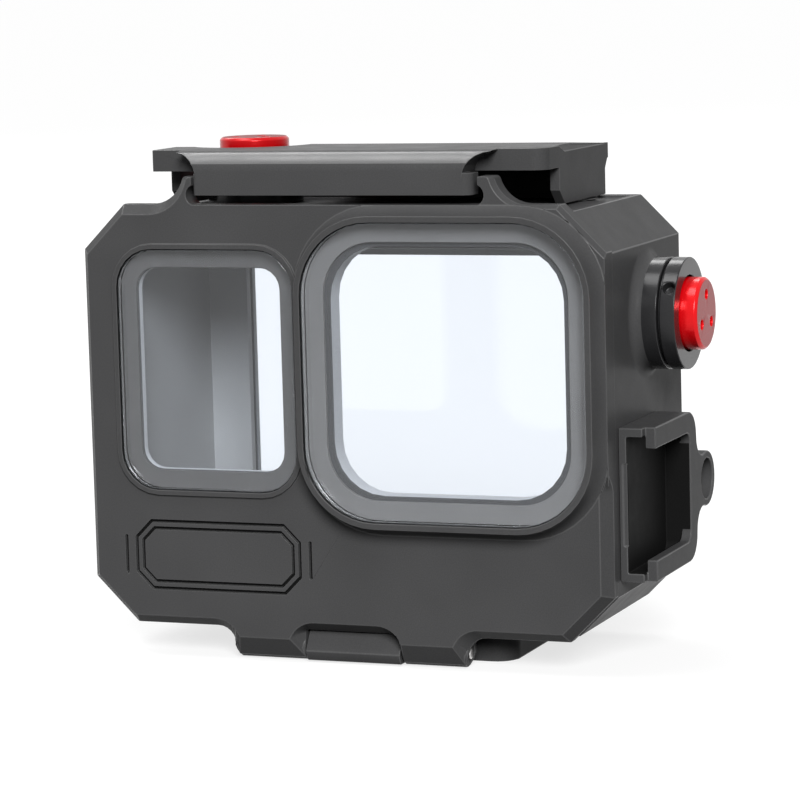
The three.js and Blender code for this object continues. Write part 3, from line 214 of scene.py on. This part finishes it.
def turned_metal(name, colour, cap, metallic, rough, specular):
    """Anodised metal with the fine rings left by turning. cap is the node and its axis."""
    node, axis = cap
    m = Recipe(name)
    shift = m.add("ShaderNodeVectorMath", {0: m.place}, operation="SUBTRACT")
    shift.inputs[1].default_value = [c * MM for c in middle_of(node)]
    flat = m.add("ShaderNodeVectorMath", {0: shift.outputs[0]}, operation="MULTIPLY")
    flat.inputs[1].default_value = [float(i != axis) for i in range(3)]
    reach = m.add("ShaderNodeVectorMath", {0: flat.outputs[0]}, operation="LENGTH")
    turn = m.add("ShaderNodeMath", {0: reach.outputs["Value"]}, operation="MULTIPLY")
    turn.inputs[1].default_value = 2 * math.pi / TURNED_RING
    wave = m.add("ShaderNodeMath", {0: turn.outputs[0]}, operation="SINE")
    m.link(m.shades(m.noise(per_metre=150, detail=2), colour, 0.94, 1.05), "Base Color")
    m.rough(m.noise(per_metre=4000, detail=2), rough - 0.03, rough + 0.05)
    m.set({"Metallic": metallic, "Specular IOR Level": specular})
    m.bump(wave.outputs[0], strength=0.03, distance=TURNED_DEPTH)
    return m.material


def brushed_metal(name, colour, rough):
    """Bare metal with fine lines."""
    m = Recipe(name)
    lines = m.noise(per_metre=900, detail=3, roughness=0.6, stretch=(1, 14, 14))
    m.link(m.shades(lines, colour, 0.85, 1.05), "Base Color")
    m.rough(lines, rough - 0.06, rough + 0.1)
    m.set({"Metallic": 1.0})
    m.bump(lines, strength=0.15, distance=GRAIN_DEPTH)
    return m.material


def rubber(name, colour, rough, grain=0.0):
    """Dull rubber, clouded in tone and gloss, with a fine grain where it isn't moulded smooth."""
    m = Recipe(name)
    fine = m.noise(per_metre=3000, detail=3)
    m.link(m.shades(m.noise(per_metre=120, detail=2), colour, 0.94, 1.06), "Base Color")
    m.rough(fine, rough - 0.05, rough + 0.06)
    if grain:
        m.bump(fine, strength=grain, distance=GRAIN_DEPTH)
    return m.material


def window(name, tint):
    """Clear glass with faint smears. Light goes straight through it to what lies behind."""
    m = Recipe(name)
    smear = m.noise(per_metre=45, detail=4, roughness=0.6, stretch=(1, 1, 0.4))
    m.link(m.shades(smear, tint, 0.985, 1.0, 0.2, 0.8), "Base Color")
    m.rough(smear, 0.0, 0.03)
    m.set({"Base Color": (*tint, 1), "Transmission Weight": 1.0, "IOR": 1.45})
    clear = m.add("ShaderNodeBsdfTransparent")
    clear.inputs[0].default_value = (*tint, 1)
    rays = m.add("ShaderNodeLightPath").outputs
    lighting = m.larger(rays["Is Shadow Ray"], rays["Is Diffuse Ray"])
    m.show(m.blended(lighting, m.shader.outputs[0], clear.outputs[0]))
    return m.material


black = blasted_metal("black_anodised", (0.056, 0.056, 0.057), rough=0.36, specular=0.02)
# A lighter, glossier copy of the black for every rounded edge: painted highlight.
black_edge_highlight = blasted_metal(
    "black_edge_highlight", (0.07, 0.07, 0.071), rough=0.30, specular=0.12, grain=0.5
)
# A lighter, much glossier black for the middle of the lip's curl: painted highlight where the top
# lamp reflects.
black_painted_highlight = blasted_metal(
    "black_painted_highlight", (0.066, 0.066, 0.067), rough=0.42, specular=0.85, grain=0.1
)
# Near-black for the label's groove floors, the walls round the panes and the rail's channel:
# painted shade.
painted_shade_black = blasted_metal(
    "black_painted_shade", (0.006, 0.006, 0.006), rough=0.6, specular=0.05, grain=0.5
)
# A darker, glossier black for the collar, the bushing and the shell's boss; on the boss and its
# root it is painted shade.
gloss_black_and_shade = blasted_metal(
    "black_polished_and_shade", (0.018, 0.018, 0.019), rough=0.2, specular=0.16, grain=0.3, coat=0.12
)
# Pale grey for the cavity's walls; its lighter copy is painted light on walls that face along y and
# on the rear frame's opening.
inner_grey = blasted_metal("inner_grey", (0.28, 0.28, 0.275), rough=0.55, grain=0.25)
inner_back_painted_light = blasted_metal("inner_back_painted_light", (0.31, 0.31, 0.305), rough=0.55, grain=0.25)
# A pale copy for the pane pockets' walls behind the ledges: painted light on walls that lie in
# shade.
inner_painted_light = blasted_metal("inner_painted_light", (0.60, 0.60, 0.60), rough=0.55, grain=0.25)

RED = (0.66, 0.001, 0.004)
TOP_CAP, SIDE_CAP = ("shutter_button", Z), ("mode_button", X)
# The shutter's red is a darker copy of the mode button's: painted shade.
red_top = turned_metal(
    "red_turned_top", tinted(RED, 0.75), TOP_CAP, metallic=0.3, rough=0.2, specular=0.3
)
# Darker, duller copies of the red for the caps' flat ends: painted shade.
red_top_face_painted_shade = turned_metal(
    "red_top_face_painted_shade", tinted(RED, 0.22), TOP_CAP, metallic=0.0, rough=0.3, specular=0.02
)
red_side = turned_metal(
    "red_turned_side", RED, SIDE_CAP, metallic=0.3, rough=0.2, specular=0.3
)
red_side_face_painted_shade = turned_metal(
    "red_side_face_painted_shade", tinted(RED, 0.42), SIDE_CAP, metallic=0.2, rough=0.3, specular=0.3
)

steel = brushed_metal("bare_steel", (0.62, 0.61, 0.60), rough=0.28)
grey_rubber = rubber("grey_rubber", (0.142, 0.136, 0.128), rough=0.7)
dark_rubber = rubber("dark_rubber", (0.055, 0.052, 0.049), rough=0.7)
black_rubber = rubber("black_rubber", (0.022, 0.022, 0.023), rough=0.6, grain=0.15)
glass = window("window_glass", (0.895, 0.92, 0.955))


# ---------------------------------------------------------------- mesh helpers
WELD = 0.002 * MM  # corners this close together are one corner
EVEN = math.radians(0.3)  # faces that differ by less lie in one flat face
JOINABLE = math.radians(0.5)  # and triangles that differ by less can be joined
BEVEL_SEGMENTS = 3
BEVEL_FROM = math.radians(29)  # edges sharper than this are rounded
SHARP_FROM = math.radians(36)  # and those sharper than this aren't shaded smooth


def settle(piece):
    """Applies the piece's modifiers to its mesh."""
    bpy.context.view_layer.update()
    graph = bpy.context.evaluated_depsgraph_get()
    mesh = bpy.data.meshes.new_from_object(
        piece.evaluated_get(graph), preserve_all_data_layers=True, depsgraph=graph
    )
    piece.modifiers.clear()
    piece.data = mesh


def whole_shape(node, flats):
    """The CAD node's shape with its split corners welded and its triangles joined.

    With flats "whole" each flat face is one piece, and with "sides" each one that doesn't look
    along y. The rest stay in a few pieces."""
    shape = bmesh.new()
    shape.from_mesh(frame["nodes"][node].data)
    bmesh.ops.remove_doubles(shape, verts=shape.verts, dist=WELD)
    if flats == "whole":
        bmesh.ops.dissolve_limit(shape, angle_limit=EVEN, verts=shape.verts, edges=shape.edges)
        return shape
    if flats == "sides":
        edges = [e for e in shape.edges if all(abs(f.normal.y) < FACING for f in e.link_faces)]
        bmesh.ops.dissolve_limit(shape, angle_limit=EVEN, verts=[], edges=edges)
    bmesh.ops.join_triangles(
        shape,
        faces=shape.faces,
        angle_face_threshold=JOINABLE,
        angle_shape_threshold=math.pi,
    )
    return shape


def meshed(shape, name):
    """A new mesh of the shape. The shape itself is freed."""
    mesh = bpy.data.meshes.new(name)
    shape.to_mesh(mesh)
    shape.free()
    return mesh


def refined(
    node, finish, edge=None, width=0.1, mark=None, extras=(), flats="joined", across=()
):
    """Replaces a CAD node by its shape with rounded edges, smooth curves and a detailed finish.

    The rounded edges are width millimetres wide, and edge is their own finish. mark gives a face
    one of the extras, or None to leave it. Faces are divided at each x of across, in millimetres,
    so that long ones are shaded evenly."""
    body = frame["nodes"][node]["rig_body"]
    shape = whole_shape(node, flats)
    for x in across:
        everything = [*shape.verts, *shape.edges, *shape.faces]
        bmesh.ops.bisect_plane(
            shape, geom=everything, dist=1e-7, plane_co=(x * MM, 0, 0), plane_no=(1, 0, 0)
        )
    piece = linked(node + "_dressed", meshed(shape, node + "_shape"))
    for material in (finish, edge or finish, *extras):
        piece.data.materials.append(material)
    bevel = piece.modifiers.new("edges", "BEVEL")
    bevel.width = width * MM
    bevel.segments = BEVEL_SEGMENTS
    bevel.limit_method = "ANGLE"
    bevel.angle_limit = BEVEL_FROM
    bevel.use_clamp_overlap = False
    bevel.miter_outer = "MITER_ARC"
    # The rounded edges get the edge material, where it is given: painted highlight.
    bevel.material = 1 if edge else -1
    settle(piece)
    if mark:
        for polygon in piece.data.polygons:
            material = mark(polygon)
            if material:
                polygon.material_index = piece.data.materials.find(material.name)
    piece.data.shade_smooth()
    piece.data.set_sharp_from_angle(angle=SHARP_FROM)
    weight = piece.modifiers.new("normals", "WEIGHTED_NORMAL")
    weight.keep_sharp = True
    settle(piece)
    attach(piece, body)
    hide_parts(node)


# ---------------------------------------------------------------- camera
PHOTO_WIDTH = 800  # pixels
FOCAL_LENGTH = 3411.8  # pixels, fitted to the photograph, as the three vectors below are
CAMERA_PLACE = (0.1881, -0.4911, 0.1064)
CAMERA_RIGHT = (0.93235, 0.36057, -0.02669)
CAMERA_BACK = (0.3609, -0.9238, 0.1280)
SENSOR_WIDTH = 36

back = Vector(CAMERA_BACK).normalized()
up = back.cross(Vector(CAMERA_RIGHT)).normalized()
right = up.cross(back).normalized()
camera_data = bpy.data.cameras.new("camera")
camera_data.sensor_width = SENSOR_WIDTH
camera_data.lens = FOCAL_LENGTH / PHOTO_WIDTH * SENSOR_WIDTH
camera_data.clip_start = 0.01
camera = linked("camera", camera_data)
turn = Matrix((right, up, back)).transposed().to_4x4()
camera.matrix_world = Matrix.Translation(CAMERA_PLACE) @ turn
bpy.context.scene.camera = camera


# ---------------------------------------------------------------- which faces get which finish
NEAR = 0.4  # a box that picks out a wall reaches this far past it
DOOR_THICKNESS = 3.8
DOOR_BACK = middle_of("hinge_pin")[Y]  # the hinge axis lies in the plane of the door's rear face
DOOR_FACE = DOOR_BACK - DOOR_THICKNESS
SHELL_BACK = box_of("housing_shell")[Y][1]

# This box lies just outside the cavity's walls: it ends at the two stems' clips and below the pads.
PAD_LEFT, PAD_RIGHT = box_of("rest_pad_left"), box_of("rest_pad_right")
CAVITY_MIDDLE = (PAD_LEFT[X][0] + PAD_RIGHT[X][1]) / 2
CAVITY_RIGHT = box_of("mode_clip")[X][0]
CAVITY_LEFT = 2 * CAVITY_MIDDLE - CAVITY_RIGHT
CAVITY_FLOOR = PAD_LEFT[Z][0] - NEAR
CAVITY_TOP = box_of("shutter_clip")[Z][0]

BOSS_SHADE_REACH = 2.0  # the boss is painted darker and glossier from this far behind the collar outwards: painted shade
BOSS_FROM = box_of("mode_collar")[X][0] - BOSS_SHADE_REACH


def shell_mark(polygon):
    """The cavity's walls are pale grey, and those that face along y a lighter copy: painted light.
    The button boss is a darker, glossier black: painted shade round it.
    """
    x, y, z = (c / MM for c in polygon.center)
    inside = within(x, CAVITY_LEFT, CAVITY_RIGHT) and within(z, CAVITY_FLOOR, CAVITY_TOP)
    if inside and within(y, DOOR_BACK, SHELL_BACK):
        return inner_grey if abs(polygon.normal.y) < FACING else inner_back_painted_light
    return gloss_black_and_shade if x > BOSS_FROM else None


LABEL_SIDES, LABEL_ENDS = (-43, -10.5), (10, 22.3)  # just outside the label's grooves
GROOVE_FLOORS = (DOOR_FACE + 0.03, DOOR_FACE + 0.7)  # the grooves' floors lie between these
PAST_FRONT = 0.25  # a pocket's walls are marked from this far in front of the pane
PAST_SEAL = 0.2  # its ledge lies within this distance behind the seal
PAST_DOOR = 0.1  # and its walls end before this distance behind the door's rear face
POCKETS = [
    (middle_of(pane), box_of(pane), box_of(pane + "_seal")[Y][1] + PAST_SEAL)
    for pane in ("lens_window", "screen_window")
]


def door_mark(polygon):
    """Painted shade: the label's groove floors and the walls round the panes are near-black.
    Painted light: the walls behind them are pale.
    """
    x, y, z = (c / MM for c in polygon.center)
    normal = polygon.normal
    if within(x, *LABEL_SIDES) and within(z, *LABEL_ENDS) and within(y, *GROOVE_FLOORS):
        return painted_shade_black if normal.y < -FACING else None
    if abs(normal.y) > FACING:
        return None
    for middle, pane, ledge in POCKETS:
        inward = (x - middle[X]) * normal.x + (z - middle[Z]) * normal.z < 0
        across = within(x, pane[X][0] - NEAR, pane[X][1] + NEAR)
        level = within(z, pane[Z][0] - NEAR, pane[Z][1] + NEAR)
        if inward and across and level:
            if within(y, pane[Y][0] - PAST_FRONT, ledge):
                return painted_shade_black
            if within(y, ledge, DOOR_BACK + PAST_DOOR):
                return inner_painted_light
    return None


FRAME_MIDDLE = middle_of("rear_window_frame")


def frame_mark(polygon):
    """The rear frame's opening walls get the cavity's lighter copy: painted light on their shade.
    """
    x, _, z = (c / MM for c in polygon.center)
    normal = polygon.normal
    inward = (x - FRAME_MIDDLE[X]) * normal.x + (z - FRAME_MIDDLE[Z]) * normal.z < 0
    return inner_back_painted_light if inward and abs(normal.y) < FACING else None


CURL_FORWARD, CURL_UP, CURL_ASIDE = 0.4, 0.3, 0.05  # parts of the normals over the curl


def lip_mark(polygon):
    """The middle of the curl over the lip gets a lighter, much glossier black: painted highlight.
    """
    normal = polygon.normal
    curled = -normal.y > CURL_FORWARD and normal.z > CURL_UP and abs(normal.x) < CURL_ASIDE
    return black_painted_highlight if curled else None


FLAT_END = 0.95  # a cap's end looks along its axis this closely


def cap_mark(axis, end_finish):
    """The mark for a cap whose flat end gets a darker, duller copy of its red: painted shade."""
    return lambda polygon: end_finish if polygon.normal[axis] > FLAT_END else None


SHOE_BOX = box_of("side_shoe")
SHOE_WALL = 1.15  # the channel starts this far inside the rail
SHOE_LIP = 1.45  # and ends this far under the lips' outer faces
SHOE_END = 3  # faces that look forward this close to the front are the rail's end


def shoe_mark(polygon):
    """The rail's channel is painted near-black inside: painted shade."""
    x, y, z = (c / MM for c in polygon.center)
    (left, right), (front, _), (low, high) = SHOE_BOX
    end = polygon.normal.y < -FACING and y < front + SHOE_END
    inside = within(x, left + SHOE_WALL, right - SHOE_LIP)
    level = within(z, low + SHOE_WALL, high - SHOE_WALL)
    return painted_shade_black if inside and level and not end else None


# ---------------------------------------------------------------- pieces
# The lever is divided here, more closely towards the lip's flared ends.
LIP_CUTS = (-27.8, -26, -22, -17, -12, -7, -2, 3, 8, 12, 14, 15.2)

refined(
    "housing_shell", black, black_edge_highlight, width=0.15,
    mark=shell_mark, extras=(inner_grey, gloss_black_and_shade, inner_back_painted_light), flats="sides",
)
refined(
    "front_door", black, black_edge_highlight, width=0.12,
    mark=door_mark, extras=(painted_shade_black, inner_painted_light), flats="whole",
)
refined(
    "latch_lever", black, black_edge_highlight,
    mark=lip_mark, extras=(black_painted_highlight,), flats="whole", across=LIP_CUTS,
)
refined(
    "side_shoe", black, black_edge_highlight, width=0.2,
    mark=shoe_mark, extras=(painted_shade_black,), flats="whole",
)
refined("mount_block", black, black_edge_highlight, width=0.25, flats="whole")
refined(
    "rear_window_frame", black, black_edge_highlight, width=0.2,
    mark=frame_mark, extras=(inner_back_painted_light,),
)
refined("mode_collar", gloss_black_and_shade, width=0.15)
refined("shutter_bushing", gloss_black_and_shade, width=0.15)
refined(
    "shutter_button", red_top, width=0.12,
    mark=cap_mark(Z, red_top_face_painted_shade), extras=(red_top_face_painted_shade,),
)
refined(
    "mode_button", red_side, width=0.12,
    mark=cap_mark(X, red_side_face_painted_shade), extras=(red_side_face_painted_shade,),
)
for name in ("lens_window", "screen_window", "rear_window"):
    refined(name, glass, width=0.2)
refined("lens_window_seal", grey_rubber)
refined("screen_window_seal", dark_rubber)
refined("rear_window_seal", grey_rubber)
for name in ("door_seal", "shutter_seal", "mode_seal", "rest_pad_left", "rest_pad_right"):
    refined(name, black_rubber)
for name in sorted(frame["nodes"]):
    if any(kind in name for kind in ("screw", "pin", "stem", "clip")):
        refined(name, steel)


# ---------------------------------------------------------------- return springs
SPRING_TURNS = 3.5
TURN_STEPS = 24
WIRE_RADIUS = 0.34
WIRE_SIDES = 8


def coil(node, axis):
    """A wire spring in the space of the CAD ring."""
    box = box_of(node)
    middle = middle_of(node)
    across = next(i for i in range(3) if i != axis)
    radius = (box[across][1] - box[across][0]) / 2 - WIRE_RADIUS
    low, high = box[axis][0] + WIRE_RADIUS, box[axis][1] - WIRE_RADIUS
    along = Vector([float(i == axis) for i in range(3)])
    first = Vector([float(i == across) for i in range(3)])
    second = along.cross(first)
    shape = bmesh.new()
    steps = int(SPRING_TURNS * TURN_STEPS)
    rings = []
    for step in range(steps + 1):
        turn = 2 * math.pi * step / TURN_STEPS
        outward = first * math.cos(turn) + second * math.sin(turn)
        centre = Vector(middle) + outward * radius
        centre[axis] = low + (high - low) * step / steps
        ring = []
        for i in range(WIRE_SIDES):
            angle = 2 * math.pi * i / WIRE_SIDES
            aside, ahead = WIRE_RADIUS * math.cos(angle), WIRE_RADIUS * math.sin(angle)
            ring.append(shape.verts.new((centre + outward * aside + along * ahead) * MM))
        rings.append(ring)
    for ring, after in zip(rings, rings[1:]):
        for i in range(WIRE_SIDES):
            j = (i + 1) % WIRE_SIDES
            shape.faces.new((ring[i], ring[j], after[j], after[i]))
    shape.faces.new(rings[0])
    shape.faces.new(rings[-1])
    bmesh.ops.recalc_face_normals(shape, faces=shape.faces)
    mesh = meshed(shape, node + "_shape")
    mesh.materials.append(steel)
    mesh.shade_smooth()
    piece = linked(node + "_coil", mesh)
    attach(piece, frame["nodes"][node]["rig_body"])
    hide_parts(node)
    seat = [c * MM for c in middle]
    seat[axis] = box[axis][0] * MM
    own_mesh(piece)


coil("shutter_spring", Z)
coil("mode_spring", X)


# ---------------------------------------------------------------- stage and light
FLOOR_HALF = 12  # metres
FLOOR_PARTS = 8
FLOOR_BOUNCE = 0.10  # how pale the floor is where it throws light back on the object
FLOOR_SHADED = 0.30  # the part of its white, where it is seen, that a shadow takes away
FLOOR_GLOW = 0.74  # and the part that a shadow leaves
ROOM_LIGHT = 0.2  # how bright the room is where it lights the object
ROOM_WHITE = 1.0  # and where it is seen


def floor_finish():
    """A white floor: it shows white with the object's shadow, and throws back a little light."""
    m = Recipe("pale_floor")
    bounce = (FLOOR_BOUNCE, FLOOR_BOUNCE, FLOOR_BOUNCE, 1)
    m.set({"Base Color": bounce, "Roughness": 0.9, "Specular IOR Level": 0.0})
    shaded = m.add("ShaderNodeBsdfDiffuse")
    shaded.inputs[0].default_value = (FLOOR_SHADED, FLOOR_SHADED, FLOOR_SHADED, 1)
    glow = m.add("ShaderNodeEmission", Strength=FLOOR_GLOW)
    seen = m.add("ShaderNodeAddShader", {0: shaded.outputs[0], 1: glow.outputs[0]})
    m.show(m.blended(m.backdrop_rays(), m.shader.outputs[0], seen.outputs[0]))
    return m.material


shape = bmesh.new()
bmesh.ops.create_grid(shape, x_segments=FLOOR_PARTS, y_segments=FLOOR_PARTS, size=FLOOR_HALF)
floor = linked("floor", meshed(shape, "floor"))
floor.data.materials.append(floor_finish())

world = bpy.data.worlds.new("studio")
bpy.context.scene.world = world
world.use_nodes = True
room = Nodes(world.node_tree)
lit, seen = (
    room.add("ShaderNodeBackground", Color=(1, 1, 1, 1), Strength=strength).outputs[0]
    for strength in (ROOM_LIGHT, ROOM_WHITE)
)
room.add("ShaderNodeOutputWorld", {0: room.blended(room.backdrop_rays(), lit, seen)})


def shine(name, kind, direction, place=(0, 0, 0), **values):
    """A lamp of this kind at the place, which shines in the direction."""
    data = bpy.data.lights.new(name, kind)
    for key, value in values.items():
        setattr(data, key, value)
    light = linked(name, data)
    light.location = place
    light.rotation_euler = Vector(direction).to_track_quat("-Z", "Y").to_euler()


LAMP_AIM = (0, 0, 0.04)  # the object's middle


def panel(name, place, size, watts):
    """A soft rectangular lamp that shines on the object's middle."""
    toward = Vector(LAMP_AIM) - Vector(place)
    width, height = size
    shine(name, "AREA", toward, place, shape="RECTANGLE", size=width, size_y=height, energy=watts)


shine("key", "SUN", (-0.38, 0.80, -0.47), energy=4.2, angle=math.radians(25))
panel("top", (-0.3, -0.2, 0.95), (0.4, 0.4), watts=4.0)
panel("rear", (-0.6, 0.7, 0.9), (0.8, 0.4), watts=6.0)

bpy.context.scene.view_settings.view_transform = "Standard"
